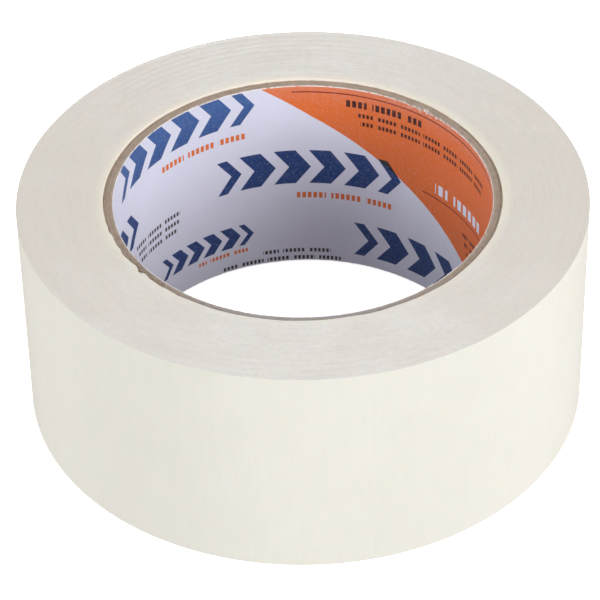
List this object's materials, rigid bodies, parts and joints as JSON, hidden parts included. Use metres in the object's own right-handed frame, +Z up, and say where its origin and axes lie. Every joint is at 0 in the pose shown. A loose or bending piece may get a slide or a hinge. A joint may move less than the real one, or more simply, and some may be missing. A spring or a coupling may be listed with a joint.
{
  "type": "masking tape roll",
  "caption": "Roll of cream crepe masking tape wound on a spiral paperboard core with a printed liner; the free end of the tape peels up.",
  "frame": {"origin": "on the roll's axis, in the plane of the lower side face", "axes": "+Z up along the roll's axis; the tip of the free end lies towards +Y"},
  "size_m": [0.1154, 0.1155, 0.048],
  "materials": {
    "crepe_tape": "matt",
    "liner_paper": "satin",
    "core_board": "matt",
    "kraft_paper": "matt"
  },
  "bodies": {
    "roll": {"core_liner": "liner_paper", "core_board_ply_1": "core_board", "core_board_ply_2": "core_board", "core_board_ply_3": "core_board", "core_board_ply_4": "core_board", "core_kraft_ply": "kraft_paper", "tape_wound_pack": "crepe_tape", "tape_outer_wrap": "crepe_tape"},
    "tape_end_1": {"tape_end_1": "crepe_tape"},
    "tape_end_2": {"tape_end_2": "crepe_tape"},
    "tape_end_3": {"tape_end_3": "crepe_tape"},
    "tape_end_4": {"tape_end_4": "crepe_tape"}
  },
  "joints": [
    {"name": "peel_line", "type": "hinge", "parent": "roll", "child": "tape_end_1", "pos_m": [-0.02316, 0.05295, 0.024], "axis": [0, 0, 1], "range_deg": [0, 80]},
    {"name": "free_end_bend_1", "type": "hinge", "parent": "tape_end_1", "child": "tape_end_2", "pos_m": [-0.01174, 0.05659, 0.024], "axis": [0, 0, 1], "range_deg": [0, 16]},
    {"name": "free_end_bend_2", "type": "hinge", "parent": "tape_end_2", "child": "tape_end_3", "pos_m": [0.00019, 0.05779, 0.024], "axis": [0, 0, 1], "range_deg": [0, 16]},
    {"name": "free_end_bend_3", "type": "hinge", "parent": "tape_end_3", "child": "tape_end_4", "pos_m": [0.01211, 0.05651, 0.024], "axis": [0, 0, 1], "range_deg": [0, 16]}
  ],
  "couplings": [
    {"joint": "free_end_bend_1", "follows": "peel_line", "ratio": 0.2},
    {"joint": "free_end_bend_2", "follows": "peel_line", "ratio": 0.2},
    {"joint": "free_end_bend_3", "follows": "peel_line", "ratio": 0.2}
  ]
}
